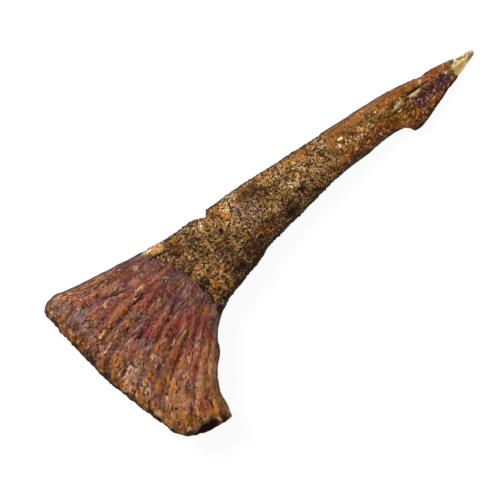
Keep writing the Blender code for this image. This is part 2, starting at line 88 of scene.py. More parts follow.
# Stains on the upper side: x and y of the centre, half length, half width, turn in degrees and strength. Not
# all are stains: flecked is where painted glints gather, a few pale marks near the point are painted glints,
# and dark is partly painted shade in slits, pits and grooves.
STAINS = {
    "ochre": [
        (7.7, 4.5, 1.0, 0.35, 0, 1), (7.1, 2.6, 0.9, 0.4, 0, 1), (9.4, -3.7, 1.3, 0.4, 8, 1),
        (4.6, -12, 1.1, 1.3, 60, 1), (12.4, -3.3, 1.1, 0.4, 20, 1), (5.8, -7.1, 1.5, 0.6, 15, 1),
        (15.2, -2.8, 1.0, 0.7, 30, 1), (11.6, 6.0, 0.7, 0.3, -10, 1), (25.3, 4.2, 1.0, 0.9, 60, 0.8),
        (18.9, 6.1, 0.6, 0.9, 0, 1), (18.4, 1.4, 0.8, 0.9, 0, 0.4), (19.2, -1.6, 1.2, 0.9, 0, 0.8),
        (18.6, 5.6, 0.8, 1.0, 20, 0.8), (20.4, -2.6, 1.0, 0.5, 0, 0.7), (28.3, -0.6, 0.7, 0.6, 0, 0.7),
        (0.9, 9.0, 1.0, 0.8, 90, 1), (0.8, 6.4, 1.2, 0.8, 90, 1), (12.6, -6.4, 2.0, 0.6, 50, 0.6),
        (61.4, -2.95, 0.9, 0.35, 0, 1), (5.6, -12.2, 1.8, 1.2, 60, 1), (6.6, -5.8, 1.9, 0.6, 15, 1),
        (2.4, 0.0, 0.9, 1.2, 0, 0.9), (4.4, -5.6, 1.2, 0.8, 20, 0.9), (7.0, -2.0, 1.2, 0.5, 5, 0.7),
        (3.2, -11.4, 1.0, 0.8, 40, 0.8), (25.0, 5.6, 2.0, 0.7, -10, 0.5), (31.0, 4.9, 2.4, 0.5, -8, 0.6),
        (37.5, 3.4, 3.0, 0.7, -10, 0.6), (61.0, -3.15, 0.8, 0.35, 10, 0.9),
    ],
    "sandy": [
        (6.2, -7.8, 2.0, 0.8, 20, 1), (9.2, -9.6, 2.6, 1.4, 35, 1), (7.0, -12.4, 1.2, 0.9, 0, 0.8),
        (12.4, -6.6, 1.6, 0.5, 40, 0.7), (7.2, -14.0, 1.6, 0.7, -10, 0.8), (10.8, -10.2, 1.4, 1.0, 40, 0.8),
        (7.4, -1.8, 1.3, 0.4, 5, 0.6), (9.4, -11.8, 1.0, 1.2, 0, 0.7), (8.6, -7.6, 1.4, 0.5, 30, 0.8),
        (12.9, -8.3, 1.2, 0.6, 40, 0.6), (18.4, 1.4, 0.7, 0.8, 0, 0.6), (2.4, 0.1, 1.2, 1.0, 0, 0.8),
        (3.4, -0.4, 1.0, 0.5, 0, 0.6), (48.0, 1.5, 2.6, 0.4, -12, 0.8), (6.5, -13.0, 1.4, 0.8, -10, 0.8),
        (7.8, -13.9, 0.8, 0.6, 0, 0.8), (2.2, -9.4, 0.8, 0.8, 0, 0.8), (8.8, -11.2, 2.0, 1.2, 55, 1),
        (8.4, 9.7, 2.6, 0.6, -14, 0.9), (4.6, 0.3, 2.2, 0.6, 0, 0.8), (5.0, -1.0, 1.6, 0.4, 0, 0.6),
    ],
    "red": [
        (7.4, 5.6, 1.8, 0.5, -10, 1), (11.2, -1.7, 2.4, 0.7, 5, 1), (13.6, -2.2, 1.5, 0.6, 12, 1),
        (6.5, -11.2, 0.5, 1, 0, 1), (12.6, -8.0, 1.5, 0.6, 45, 0.8), (4.0, 11.0, 1.2, 0.4, -15, 1),
        (10.5, 8.0, 2.2, 0.5, -12, 0.7), (57.9, -1.6, 1.5, 0.5, -8, 0.5), (54.9, -2.9, 1.6, 0.6, 10, 0.4),
        (9.4, 3.7, 3.0, 0.45, -20, 0.9), (11.8, -2.3, 3.6, 0.5, 6, 0.8), (2.4, -6.1, 0.5, 0.5, 0, 1),
        (12.6, 2.6, 1.6, 0.4, -10, 0.6), (13.2, -3.9, 2.0, 0.6, 14, 1), (13.0, -2.2, 1.9, 0.8, 8, 1),
        (11.2, -5.6, 1.8, 0.5, 28, 0.9), (9.6, 0.2, 2.0, 0.5, 0, 0.8), (9.0, 4.4, 1.8, 0.5, -12, 0.9),
        (11.4, -0.4, 1.8, 0.4, 0, 0.7), (7.4, -10.9, 0.8, 0.5, 20, 0.9), (5.2, -11.0, 0.5, 0.4, 0, 0.8),
        (13.2, -8.2, 1.0, 0.5, 40, 0.8), (57.5, -4.6, 2.0, 0.6, 0, 0.5), (11.4, -4.4, 2.2, 0.6, 22, 0.9),
        (12.6, -4.8, 1.6, 0.5, 26, 0.8),
    ],
    "violet": [
        (6.2, 7.7, 2.5, 0.5, -12, 1), (4.2, -3.6, 1.6, 0.7, 8, 1), (8.4, -4.9, 1.1, 0.6, 10, 1),
        (3.0, -9.3, 1.0, 0.8, 0, 1), (8.3, -10.8, 0.9, 0.8, 0, 1), (5.6, -4.6, 2.2, 0.5, 14, 0.8),
        (6.4, -8.9, 2.2, 0.5, 26, 0.9), (9.6, -7.2, 1.8, 0.4, 30, 0.7), (9.6, 1.9, 2.4, 0.45, -4, 0.7),
        (11.8, 4.6, 2.2, 0.6, -10, 0.8), (8.1, -13.2, 0.7, 1.3, -15, 1), (3.0, 9.4, 0.8, 0.6, 0, 1),
        (14.5, 1.0, 2, 2.5, 0, 1), (56.5, -2.4, 3.2, 1.25, 0, 1), (8.0, 6.2, 2.6, 0.6, -14, 0.8),
        (7.4, 4.3, 2.0, 0.4, -10, 0.6), (3.6, -11.0, 1.2, 0.7, 30, 0.9), (5.6, -8.2, 1.4, 0.5, 25, 0.8),
    ],
    "grey": [
        (2.6, 6.3, 1.4, 0.6, 0, 1), (3.0, 2.0, 1.4, 0.5, 0, 0.5), (63.2, -2.68, 0.6, 0.24, 9, 1),
        (7.1, -0.9, 0.7, 0.5, 0, 1), (9.0, -9.0, 1.4, 0.9, 45, 1), (9.6, -10.6, 1.0, 0.7, 40, 0.9),
        (5.8, -10.4, 1.2, 0.6, 30, 0.8), (8.6, -12.6, 0.8, 0.9, 0, 0.7), (51.8, -1.15, 1.1, 0.28, -8, 1),
        (28.2, 2.2, 2.2, 2.0, 0, 0.4), (14.3, -6.0, 0.9, 0.6, 40, 1), (2.4, 10.0, 1.3, 0.8, 0, 1),
        (1.8, 11.3, 1.2, 0.7, 0, 1), (3.6, 8.0, 1.4, 0.9, 0, 0.9), (4.8, -1.9, 1.5, 0.8, 10, 0.8),
        (6.7, -6.4, 1.4, 0.7, 20, 0.7), (12.0, 6.3, 1.5, 0.5, -15, 0.5), (4.8, -9.6, 1.3, 0.9, 30, 1),
        (3.4, -7.6, 1.2, 0.7, 20, 0.9), (10.6, -8.6, 1.2, 0.6, 40, 0.8),
    ],
    "umber": [
        (30.2, 4.6, 2.3, 0.9, -10, 0.9), (26.0, -1.4, 2.1, 1.1, 0, 0.9), (24.9, 5.3, 0.7, 0.5, 0, 0.8),
        (18.6, 5.0, 1.0, 0.8, 0, 0.7), (32.5, -1.1, 1.8, 0.8, 0, 0.8), (35.5, -0.2, 1.0, 0.6, 0, 0.7),
        (22.4, -1.8, 1.4, 0.8, 0, 0.7), (17.9, 0.2, 1.0, 0.8, 0, 0.7), (20.3, 3.2, 1.2, 0.5, -60, 0.5),
        (47.8, -2.2, 4.0, 0.5, -6, 0.5), (50.8, -0.6, 1.5, 0.3, -10, 0.4), (1.4, 10.9, 1.3, 1.1, 0, 0.9),
        (0.9, 7.8, 0.9, 2.0, 0, 0.7), (3.0, 9.9, 1.0, 0.6, -10, 0.6), (4.9, 2.1, 1.9, 0.9, 0, 0.8),
        (9.8, 8.6, 2.2, 0.7, -14, 0.5), (8.9, 5.6, 1.6, 0.9, -14, 0.6), (23.2, 1.4, 1.8, 1.8, 0, 0.7),
        (28.6, -0.6, 2.6, 1.4, 0, 0.6), (15.4, -2.0, 1.6, 1.6, 0, 0.6), (60.4, -1.15, 0.9, 0.2, -20, 0.9),
        (35.4, 2.4, 1.6, 0.8, 0, 0.3), (2.6, 9.8, 1.4, 0.9, -10, 0.6), (7.8, 5.9, 2.6, 0.9, -14, 0.7),
        (8.0, 3.9, 2.4, 0.6, -10, 0.6), (13.2, 6.0, 2.4, 0.8, -18, 0.3), (40.6, -0.4, 2.2, 1.0, 0, 0.4),
        (27.8, 4.4, 1.2, 0.8, 0, 0.4), (15.6, 5.6, 1.2, 0.8, -40, 0.4), (19.6, 5.6, 1.2, 0.7, -20, 0.4),
        (21.0, 5.0, 1.2, 0.9, 0, 0.5), (62.0, -2.2, 0.65, 0.2, -24, 1), (61.1, -2.2, 0.4, 0.2, -20, 0.8),
        (60.6, -1.7, 0.5, 0.2, -20, 0.8), (1.0, -3.6, 0.7, 2.2, 0, 0.6), (0.9, 10.6, 0.8, 0.8, 0, 0.5),
    ],
    "pale": [
        (54.6, -1.45, 0.95, 0.22, -9, 1), (51.8, -1.0, 1.0, 0.2, 5, 0.7), (42.85, 0.38, 0.3, 0.2, 70, 1),
        (59.3, -2.3, 0.25, 0.16, 30, 1), (60.3, -2.42, 0.3, 0.3, 0, 1), (56.1, -0.75, 0.4, 0.12, 30, 0.8),
        (15.3, 7.9, 0.8, 0.25, -15, 1), (60.7, -1.3, 0.6, 0.1, -20, 0.7), (59.9, -1.15, 0.3, 0.1, 30, 0.6),
    ],
    "flecked": [
        (7.6, 8.3, 3.2, 0.8, -14, 1), (2.6, -2.8, 1.2, 2.4, 0, 1), (3.6, 11.0, 1.6, 0.6, -10, 0.8),
        (4.6, 3.6, 1.2, 0.7, 0, 0.6), (2.4, -7.5, 1.0, 2.0, 10, 0.8), (11.8, -5.6, 2.2, 1.0, 30, 0.7),
        (46.3, -0.3, 2.6, 0.8, -5, 0.8), (10.5, 5.2, 2.0, 0.5, -10, 0.7), (6.5, -6.0, 2.4, 0.6, 18, 0.6),
        (43.4, 0.6, 1.2, 1.0, 0, 0.9), (22.5, 5.8, 1.4, 0.8, -20, 0.8), (6.0, -13.0, 1.5, 0.8, 0, 0.6),
    ],
    "dark": [
        (56.4, -2.3, 2.2, 0.7, -10, 0.6), (16.1, 6.55, 1.5, 0.24, -16, 1), (17.6, 6.8, 0.35, 0.5, 0, 0.9),
        (62.9, -2.38, 0.5, 0.1, 8, 0.7), (63.2, -2.97, 0.7, 0.1, 10, 0.7), (34.0, -1.6, 3.0, 0.5, 2, 0.5),
        (55.05, -1.05, 2.1, 0.16, -10, 1), (57.6, -0.6, 0.5, 0.12, 0, 0.8), (60.0, -2.0, 0.15, 0.6, 20, 0.6),
        (24.2, 3.2, 0.5, 0.35, -45, 1), (23.0, -2.2, 0.9, 0.5, -20, 0.9), (35.5, -0.25, 0.5, 0.4, 0, 1),
        (32.3, -1.6, 1.1, 0.4, 0, 0.9), (36.8, -1.8, 0.9, 0.35, -20, 0.9), (9.85, 4.12, 1.3, 0.13, -7, 0.9),
        (8.6, 6.75, 1.5, 0.12, -23, 0.8), (12.9, -0.35, 1.6, 0.08, 3, 0.6), (17.6, 5.3, 1.2, 0.2, -55, 0.8),
        (18.0, -0.4, 0.8, 0.3, -60, 0.8), (49.6, -1.5, 0.7, 0.16, 30, 0.8), (19.4, -3.8, 3.2, 0.6, 13, 0.9),
        (25.4, -2.75, 3.2, 0.4, 8, 0.7), (0.4, 3.2, 0.7, 1.4, 0, 0.8), (0.8, -4.2, 0.6, 0.9, 0, 0.6),
        (0.6, -1.4, 0.5, 0.7, 0, 0.5),
    ],
}
STAIN_SEED = 80  # of the first patch of each colour

# Paler and darker sand on the upper side: x and y of the centre, radius and how much lighter it is.
CRUST_TONES = [
    (23.0, 5.6, 1.4, 0.35), (26.5, 3.8, 2.2, 0.35), (20.6, 4.6, 1.2, -0.25), (28.0, 1.8, 2.0, 0.1),
    (36.6, 1.7, 3.0, 0.3), (40.0, 0.5, 1.8, 0.2), (18.4, 1.3, 1.0, 0.5), (19.2, -1.5, 1.1, 0.25),
    (34.0, 3.6, 1.5, 0.15), (30.6, 4.5, 1.9, -0.2), (26.0, -1.4, 2.2, -0.2), (32.5, -1.1, 1.6, -0.3),
    (35.5, -0.2, 1.0, -0.3), (28.0, 5.7, 1.4, 0.5), (31.6, 5.1, 1.4, 0.45), (22.6, 1.0, 1.6, -0.15),
    (29.0, -0.6, 1.8, -0.15), (22.4, -1.8, 1.4, -0.25), (17.8, -0.2, 0.8, -0.3), (18.0, 5.5, 1.2, -0.2),
]

GRAIN_SMALL, GRAIN_LARGE = 0.1, 0.25  # radius of a sand grain
GRAIN_CELL = 0.24  # side of the boxes in which neighbouring grains are looked for
GRAIN_SPACING = 0.88  # least distance between two grains, as a share of their radii together
GRAIN_SEED = 11
GLOSS_TINT = (1.0, 0.75, 0.5, 1)  # warms the highlights

# Large odd numbers that turn a corner of the noise's lattice into 32 random bits.
AXIS_STEPS, SEED_STEP, SCRAMBLE = (374761393, 668265263, 2147483629), 974634777, 1274126177
LOW_BITS = 0xFFFFFFFF


# Arithmetic on many points at once


def smoothstep(low, high, number):
    """Runs smoothly from 0 at low to 1 at high. low may be the larger."""
    share = np.clip((number - low) / (high - low), 0, 1)
    return share * share * (3 - 2 * share)


def noise(points, seed=0):
    """Smooth noise, about -1 to 1, that varies over about one unit."""
    cell = np.floor(points).astype(np.int64)
    part = points - cell
    fade = part**3 * (part * (part * 6 - 15) + 10)
    total = np.zeros(len(points))
    for corner in itertools.product((0, 1), repeat=3):
        place = cell + corner
        mixed = place @ AXIS_STEPS + seed * SEED_STEP & LOW_BITS
        mixed = (mixed ^ mixed >> 13) * SCRAMBLE & LOW_BITS
        mixed ^= mixed >> 16
        slope = np.column_stack([mixed & 1023, mixed >> 10 & 1023, mixed >> 20 & 1023]) / 511.5 - 1
        total += (slope * (part - corner)).sum(1) * np.prod(np.where(corner, fade, 1 - fade), axis=1)
    return total * 1.5


def fractal(points, octaves=3, seed=0):
    """Noise with finer noise added on it."""
    return sum(noise(points * 2.03**k, seed + 7 * k) / 2**k for k in range(octaves))


def from_line(points, start, end=None):
    """Each point's distance in plan from a line segment, or from its start alone."""
    start, end = np.array(start), np.array(start if end is None else end)
    along = np.clip((points[:, :2] - start) @ (end - start) / max((end - start) @ (end - start), 1e-9), 0, 1)
    return np.linalg.norm(points[:, :2] - start - along[:, None] * (end - start), axis=1)


def spot(points, centre, radius_x, radius_y, turn, ragged, seed):
    """1 inside an oval patch with a ragged, soft edge, and 0 outside it. turn is in degrees."""
    away = points[:, :2] - centre
    turned = math.radians(turn)
    along = away @ (math.cos(turned), math.sin(turned)) / radius_x
    across = away @ (-math.sin(turned), math.cos(turned)) / radius_y
    size = np.hypot(along, across)
    near = size < 1.2 + 2 * ragged
    size[near] += ragged * fractal(points[near] * 1.3 / min(radius_x, radius_y), 3, seed)
    return 1 - smoothstep(0.65, 1.15, size)


def polyline(points, shares):
    """The points at these shares of a polyline's length."""
    points = np.array(points)
    along = np.concatenate([[0], np.cumsum(np.linalg.norm(np.diff(points, axis=0), axis=1))])
    places = np.asarray(shares) * along[-1]
    return np.column_stack([np.interp(places, along, points[:, k]) for k in (0, 1)])


def fan_coordinates(points):
    """Each point's share across from the front edge, and its run: 0 to 1 over the root and on over the crown.

    On the root they come from the nearest point of a grid that is stretched between its four edges.
    """
    runs, shares = np.linspace(0, 1, 60), np.linspace(0, 1, 90)
    front = [p for p in FRONT_EDGE if p[0] <= NECK_ARC[0][0]]
    rear = [p for p in REAR_EDGE if p[0] <= NECK_ARC[-1][0]]
    s, r = shares[None, :, None], runs[:, None, None]
    patch = (1 - r) * polyline(BASE_EDGE, shares) + r * polyline(NECK_ARC, shares)
    patch = patch + (1 - s) * polyline(front, runs)[:, None] + s * polyline(rear, runs)[:, None]
    patch -= (1 - s) * ((1 - r) * front[0] + r * front[-1]) + s * ((1 - r) * rear[0] + r * rear[-1])
    tree = KDTree(len(runs) * len(shares))
    for index, (x, y) in enumerate(patch.reshape(-1, 2)):
        tree.insert((x, y, 0), index)
    tree.balance()
    x, y = points[:, 0], points[:, 1]
    front_y, rear_y = np.interp(x, *np.transpose(FRONT_EDGE)), np.interp(x, *np.transpose(REAR_EDGE))
    neck_x, neck_y = np.transpose(NECK_ARC)
    share = np.clip((front_y - y) / (front_y - rear_y), 0, 1)
    run = 1 + (x - np.interp(-y, -neck_y, neck_x)) / CROWN_LENGTH
    for index in np.flatnonzero(run < 1):
        _, nearest, _ = tree.find((x[index], y[index], 0))
        share[index], run[index] = shares[nearest % len(shares)], runs[nearest // len(shares)]
    return share, run


# Meshes


def merged_copy(node):
    """A copy of a CAD node's mesh with its loose triangles joined."""
    mesh = bmesh.new()
    mesh.from_mesh(node.data)
    bmesh.ops.remove_doubles(mesh, verts=mesh.verts, dist=1e-7)
    data = bpy.data.meshes.new(BODY)
    mesh.to_mesh(data)
    mesh.free()
    return data


def new_object(name, data):
    """An object in the scene that shows this data."""
    piece = bpy.data.objects.new(name, data)
    bpy.context.scene.collection.objects.link(piece)
    return piece


def evened(data):
    """The mesh rebuilt from small even faces, with the CAD facets smoothed away."""
    piece = new_object("evened", data)
    remesh = piece.modifiers.new("remesh", "REMESH")
    remesh.mode = "VOXEL"
    remesh.voxel_size = FACE_SIZE * MM
    smooth = piece.modifiers.new("smooth", "SMOOTH")
    smooth.factor = 0.5
    smooth.iterations = 3
    made = bpy.data.meshes.new_from_object(piece.evaluated_get(bpy.context.evaluated_depsgraph_get()))
    bpy.data.objects.remove(piece)
    return made


def rows(items, name, width, kind=np.float32):
    """One property of every item in a mesh's list, a row of numbers each."""
    values = np.empty(len(items) * width, kind)
    items.foreach_get(name, values)
    return values.reshape(-1, width)


def set_floats(data, values):
    """Gives each point of a mesh a number of each name."""
    for name, numbers in values.items():
        data.attributes.new(name, "FLOAT", "POINT").data.foreach_set("value", numbers.astype(np.float32))


def to_tooth(points):
    """Metres in the part's frame to millimetres on the tooth's axes."""
    return points / MM + (BASE_EDGE_X, AXIS_Y, 0)


def to_part(points):
    """Millimetres on the tooth's axes to metres in the part's frame."""
    return (points - (BASE_EDGE_X, AXIS_Y, 0)) * MM


def relaxed(points, edges, rounds):
    """The points after each has moved most of the way to the middle of its neighbours this many times."""
    ends = np.concatenate([edges[:, 0], edges[:, 1]])
    others = np.concatenate([edges[:, 1], edges[:, 0]])
    count = np.bincount(ends, minlength=len(points))[:, None]
    for _ in range(rounds):
        sums = [np.bincount(ends, weights=points[others, k], minlength=len(points)) for k in range(3)]
        points = points / 3 + np.column_stack(sums) / count * 2 / 3
    return points


def sunk(points, normals, edges, rounds, deepest):
    """How far each point lies below those around it, -1 to 1 of the deepest. More rounds reach further."""
    return np.clip(((relaxed(points, edges, rounds) - points) * normals).sum(1) / deepest, -1, 1)


# The tooth's skin


def inside_trough(points, normals):
    """Millimetres that each point lies inside the root's open base, 0 elsewhere."""
    x, y, z = points.T
    middle_z = np.interp(x, (0, 9, 20), (3.8, 3.65, 3.25))
    edge_x = np.interp(-y, (-12, 3, 11.4, 14, 15.1), (0.2, 0.2, 1.6, 4, 8))
    facing_out = smoothstep(0.3, -0.3, normals[:, 0]) * (np.abs(z - middle_z) < 2.2)
    return facing_out * np.clip(x - edge_x, 0, 3) * (x < 9) * (y < 10)


class Zones:
    """Where each kind of surface is, 0 to 1 at each point, with ragged borders."""

    def __init__(self, points, normals):
        self.points, self.normals = points, normals
        x, y, z = points.T
        up = normals[:, 2]
        self.upper = smoothstep(-0.35, 0.1, up)
        # wall: the steep sides, darkest along their upper band, for painted shade with some dark earth
        steep = 1 - smoothstep(0.15, 0.65, np.abs(up) + 0.12 * fractal(points * 1.5, 2, 2))
        patchy = 0.42 + 0.3 * fractal(points * 0.7, 3, 76)
        self.wall = steep * (patchy + (0.95 - patchy) * smoothstep(-0.05, 0.2, up))
        self.buried = inside_trough(points, normals)

        self.share, self.run = fan_coordinates(points)
        underside = np.where(self.upper > 0.5, 0, 5)  # shifts its noise
        self.fan = np.column_stack([self.share * ROOT_WIDTH, self.run * ROOT_LENGTH, underside])
        self.past_neck = (self.run - 1) * CROWN_LENGTH
        self.crown = smoothstep(-0.1, 0.1, self.past_neck + 0.3 * fractal(points * 1.5, 2, 3))
        self.root = 1 - self.crown

        above = self.upper * spot(points, (16.5, 7.4), 1.7, 0.7, -20, 0.5, 5)
        beneath = (1 - self.upper) * spot(points, (17.0, 7.8), 1.3, 1.0, 0, 0.5, 6)
        beneath *= smoothstep(2.6, 3.6, z + 0.5 * fractal(points, 2, 7))
        self.chip = self.crown * np.maximum(above, beneath)

        crust_end = CRUST_END_X + 0.9 * fractal(points * 0.55, 3, 9) + 0.4 * (y - 1)
        self.crust = self.crown * (1 - smoothstep(-1.0, 0.8, x - crust_end)) * (1 - self.chip)
        ivory_from = IVORY_FROM_X + 0.3 * fractal(points * 1.4, 2, 13)
        ivory_from += 0.4 * smoothstep(-3, -2.3, y) + 0.8 * smoothstep(-2.3, -1.6, y)
        self.ivory = smoothstep(-0.12, 0.12, x - ivory_from)
        self.enamel = self.crown * (1 - self.crust) * (1 - self.chip) * (1 - self.ivory)


def root_relief(zones):
    """Fine ribs, grit, pores and a crumbled rim."""
    points = zones.points
    height = 0.09 * fractal(zones.fan * (0.75, 0.13, 1), 2, 21)
    height += 0.07 * fractal(points * 0.8, 2, 23) + 0.03 * noise(points * 2.6, 26)
    height -= 0.14 * smoothstep(0.7, 1.0, fractal(points * 0.9, 2, 25))
    crumbled = 0.14 * fractal(points * 1.5, 3, 24) - 0.05
    crumbled -= 0.3 * smoothstep(0.3, 0.8, noise(points * 0.9, 27))
    return height + crumbled * (1 - smoothstep(0.02, 0.16, zones.run))


def crust_relief(points):
    """Lumps, and hollows where sand has fallen away. It lies low, to leave room for the grains."""
    height = 0.09 * fractal(points * 0.8, 2, 31) + 0.06 * noise(points * 2.6, 32) - 0.13
    return height - 0.22 * smoothstep(0.45, 0.85, fractal(points * 0.75, 3, 33))


def enamel_relief(points):
    """Faint waves along the crown, thin cracks, dents and a lumpy place."""
    height = 0.03 * fractal(points * (0.3, 1, 1) * 2.2, 3, 41) + 0.05 * fractal(points * 0.5, 2, 42)
    height -= 0.09 * smoothstep(0.88, 1.0, 1 - np.abs(fractal(points * (0.5, 0.9, 0.9), 2, 40)))
    height -= 0.1 * smoothstep(0.5, 0.9, fractal(points * 1.1, 3, 43))
    lumpy = spot(points, (46.0, -0.2), 4.2, 1.2, -5, 0.3, 47)
    return height + lumpy * 0.13 * smoothstep(-0.1, 0.7, noise(points * 2.1, 48))


def ivory_relief(points):
    """Worn a little thinner, but for the blunt end."""
    return 0.03 * fractal(points * 1.5, 2, 46) + 0.11 * smoothstep(62.2, 63.6, points[:, 0]) - 0.07


def cuts(points):
    """Millimetres that the slits, the pits and the pitted patch near the point go in."""
    sway = np.column_stack([noise(points * 1.5, 51), noise(points * 1.5, 52), np.zeros(len(points))])
    swayed = points + 0.12 * sway
    pitted = spot(points, (56.3, -2.6), 3.1, 1.25, -9, 0.3, 44)
    depth = pitted * (0.06 - 0.12 * fractal(points * 1.9, 3, 45))
    for start, end, width, deepest in SLITS:
        depth += deepest * (1 - smoothstep(0.2, 1.0, from_line(swayed, start, end) / width))
    for centre, radius, deepest in PITS:
        depth += deepest * (1 - smoothstep(0.2, 1.0, from_line(swayed, centre) / radius))
    return depth


def fine_relief(zones):
    """Millimetres that each point moves out along its normal."""
    points = zones.points
    height = zones.root * root_relief(zones) + zones.crust * crust_relief(points)
    height += zones.enamel * enamel_relief(points) + zones.ivory * ivory_relief(points)
    nick = spot(points, (56.4, -0.1), 0.55, 0.5, 0, 0.1, 49)
    return height - 0.16 * nick - zones.upper * cuts(points)


def stains(zones):
    """How strongly each point is stained with each colour, 0 to 1, and how pale its sand is. Not all are
    stains: wall is painted shade on the steep sides with some dark earth, dark is partly painted shade and
    partly dark stain, and flecked is where painted glints gather.
    """
    points, fan, root, crown, run = zones.points, zones.fan, zones.root, zones.crown, zones.run
    y, z = points[:, 1], points[:, 2]
    patchy = fractal(points * 0.35, 4, 61)
    base = root * (1 - smoothstep(0.05, 0.22, run + 0.06 * patchy))
    lobe = root * smoothstep(-8.5, -11.5, y + 1.2 * patchy)

    ochre = 0.9 * base * smoothstep(-0.4, 0.3, patchy)
    ochre += 0.9 * lobe * smoothstep(-0.3, 0.4, fractal(points * 0.5, 3, 62))
    ochre += 0.4 * root * smoothstep(-2, -8, y + 3 * patchy) * smoothstep(0.8, 0.5, run)
    ochre += 0.6 * root * smoothstep(0.25, 0.7, fractal(fan * (0.8, 0.3, 1), 3, 63))
    red = 0.8 * root * smoothstep(0.2, 0.5, run) * smoothstep(1.0, 0.7, run)
    red *= smoothstep(-0.1, 0.5, fractal(fan * (0.6, 0.2, 1), 3, 64))
    violet = 0.9 * root * smoothstep(0.6, 1.0, run + 0.12 * patchy)
    violet += root * smoothstep(0.05, 0.6, fractal(fan * (0.45, 0.25, 1), 3, 65))
    grey = root * smoothstep(0.3, 0.9, fractal(points * 0.6, 4, 66) + 0.35 * smoothstep(0, -7, y))
    flecked = 0.7 * root * smoothstep(0.0, 0.7, fractal(points * 0.45, 3, 68)) * smoothstep(1.0, 0.8, run)

    # Painted shade on the steep sides, with some dark earth, but little at the rear corner and beside the
    # point.
    rear_corner = spot(points, (8.4, -14.8), 1.6, 1.3, 0, 0.4, 77)
    wall = zones.wall * (1 - zones.chip) * (1 - 0.8 * rear_corner)
    wall *= 1 - zones.ivory * smoothstep(0.9, 0.6, zones.share)

    # Painted shade in the crevice at the neck, under the lower lip of the open base (notch), inside the open
    # base, where there is also dirt, and along the crumbled base edge.
    neck = crown * smoothstep(0.5, 0, zones.past_neck + 0.4 * patchy) * smoothstep(0.1, 0.5, zones.share)
    notch = spot(points, (4.5, -14.2), 2.5, 1.2, -16, 0.1, 67)
    notch *= smoothstep(1.2, 1.6, z) * smoothstep(2.9, 2.4, z)
    dark = np.maximum(root * smoothstep(0.25, 1.1, zones.buried), neck) + notch
    dark += root * (1 - smoothstep(0.0, 0.02, run + 0.004 + 0.07 * fractal(points * 0.6, 3, 74)))
    # Darker along the rear edge of the crown: dark matrix and painted shade.
    dark += 0.9 * crown * (1 - zones.ivory) * smoothstep(0.92, 0.98, zones.share + 0.04 * patchy)

    none = np.zeros(len(points))
    made = {
        "ochre": ochre, "sandy": none, "red": red, "violet": violet, "grey": grey, "umber": 0.5 * base,
        "pale": none, "flecked": flecked, "wall": wall, "dark": dark,
    }
    for name, patches in STAINS.items():
        for seed, (*centre, length, width, turn, strength) in enumerate(patches, STAIN_SEED):
            patch = zones.upper * strength * spot(points, centre, length, width, turn, 0.55, seed)
            made[name] = np.maximum(made[name], patch)
    made["tone"] = 0.52 + 0.14 * fractal(points * 0.5, 3, 73)
    for *centre, radius, lift in CRUST_TONES:
        made["tone"] += zones.upper * lift * (1 - smoothstep(0.4, 1.2, from_line(points, centre) / radius))
    return {name: np.clip(values, 0, 1) for name, values in made.items()}


def build_surface(node, box):
    """The tooth's whole skin, with its relief and the values that its finish reads."""
    data = evened(merged_copy(node))
    edges = rows(data.edges, "vertices", 2, np.int32)
    points = to_tooth(rows(data.vertices, "co", 3).astype(float))
    normals = rows(data.vertex_normals, "vector", 3).astype(float)
    zones = Zones(points, normals)
    low, high = (to_tooth(np.array(corner)) for corner in box)
    moved = points + normals * fine_relief(zones)[:, None]
    moved = np.clip(moved, low + CLEARANCE, high - CLEARANCE)
    data.vertices.foreach_set("co", to_part(moved).astype(np.float32).ravel())
    data.update()
    colours = stains(zones)
    set_floats(data, {
        **{name: getattr(zones, name) for name in ("share", "run", "crust", "enamel", "ivory", "chip")},
        # How far each point lies below or above its neighbours, which the finish turns into painted shade in
        # hollows and painted highlight on ridges.
        "hollow": sunk(moved, normals, edges, rounds=4, deepest=0.05),
        "furrow": sunk(points, normals, edges, rounds=49, deepest=0.2),
        **colours,
    })
    data.shade_smooth()
    return new_object("tooth_surface", data), zones, moved, colours


# Sand grains


def bed_of_grains(zones, points, random):
    """Indexes and sizes of grains that cover the crust without overlapping much."""
    bald = spot(points, (26.0, -1.4), 1.9, 1.0, 0, 0.3, 72)
    bald = zones.upper * np.maximum(bald, 0.6 * spot(points, (30.2, 4.6), 1.8, 0.8, -10, 0.3, 73))
    wanted = zones.crust * (1 - 0.9 * bald) * (points[:, 2] > 0.15)
    taken, chosen, sizes = {}, [], []
    for index in random.permutation(np.flatnonzero(wanted > 0.08)):
        if random.random() > wanted[index] * 1.2:
            continue
        size = GRAIN_SMALL + (GRAIN_LARGE - GRAIN_SMALL) * random.random() ** 1.5
        size *= 0.6 + 0.4 * wanted[index]
        cell = tuple(np.floor(points[index] / GRAIN_CELL).astype(int))
        if any(
            math.dist(points[index], place) < GRAIN_SPACING * (size + other)
            for step in itertools.product((-1, 0, 1), repeat=3)
            for place, other in taken.get((cell[0] + step[0], cell[1] + step[1], cell[2] + step[2]), ())
        ):
            continue
        taken.setdefault(cell, []).append((points[index], size))
        chosen.append(index)
        sizes.append(size)
    return np.array(chosen), np.array(sizes)


